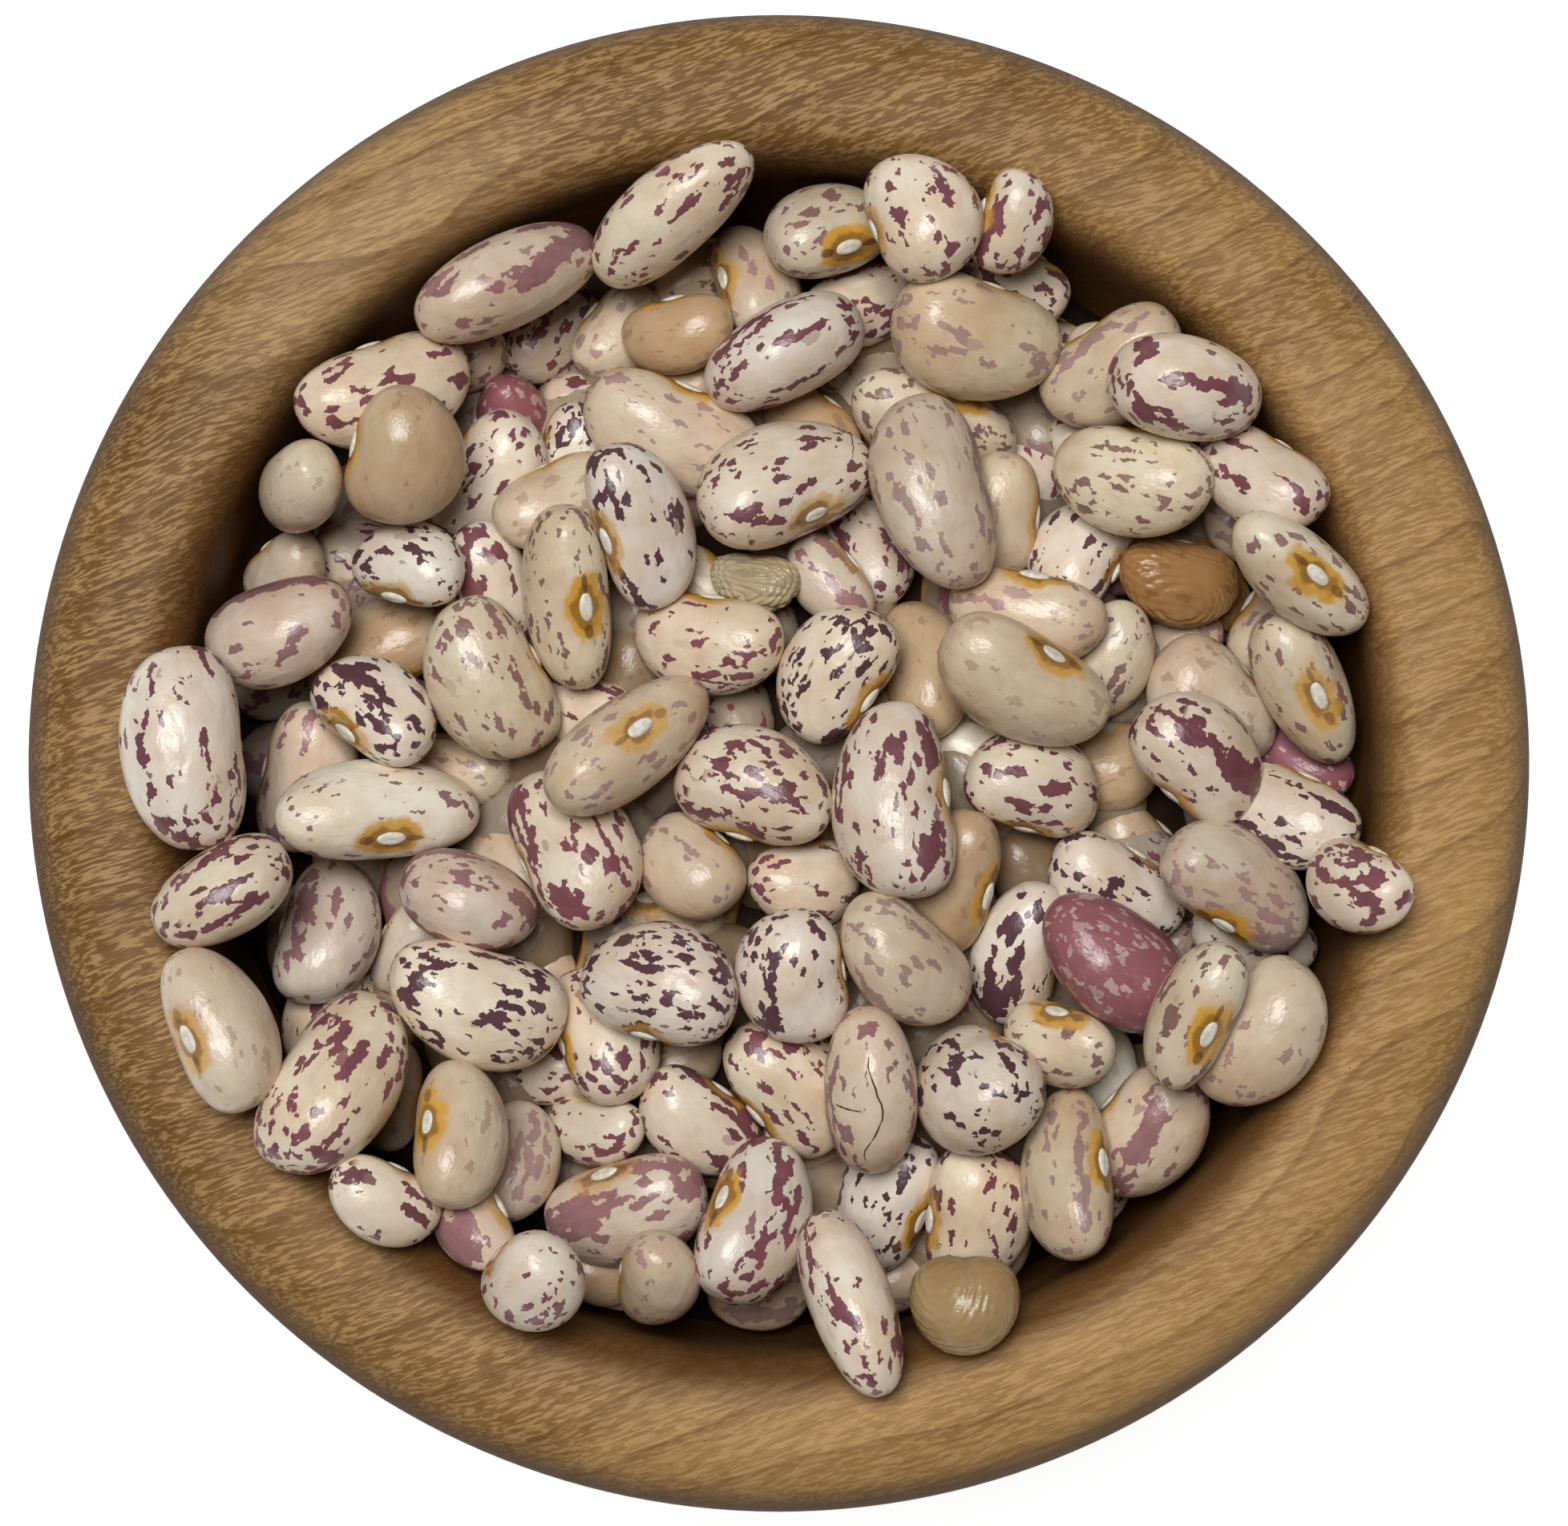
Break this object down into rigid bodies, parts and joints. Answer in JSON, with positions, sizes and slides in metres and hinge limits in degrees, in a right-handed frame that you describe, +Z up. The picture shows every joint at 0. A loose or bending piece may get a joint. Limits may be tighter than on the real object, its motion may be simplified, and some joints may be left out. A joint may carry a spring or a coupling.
{
  "type": "bowl of dried beans",
  "caption": "Small thick-rimmed turned wooden bowl heaped with dried speckled beans, standing on its flat foot",
  "frame": {"origin": "middle of the foot, on the surface that the bowl stands on", "axes": "+Z up through the bowl's mouth; +Y towards the top of the picture and +X towards its right"},
  "size_m": [0.128, 0.128, 0.054],
  "materials": {
    "turned_wood": "satin, open-grained warm brown wood with fine pale flecks and darker growth rings",
    "bean_coat": "satin seed coats in cream, tan and rose, most with maroon speckles and streaks"
  },
  "bodies": {
    "root": {"bowl": "turned_wood", "beans": "bean_coat"}
  },
  "joints": []
}
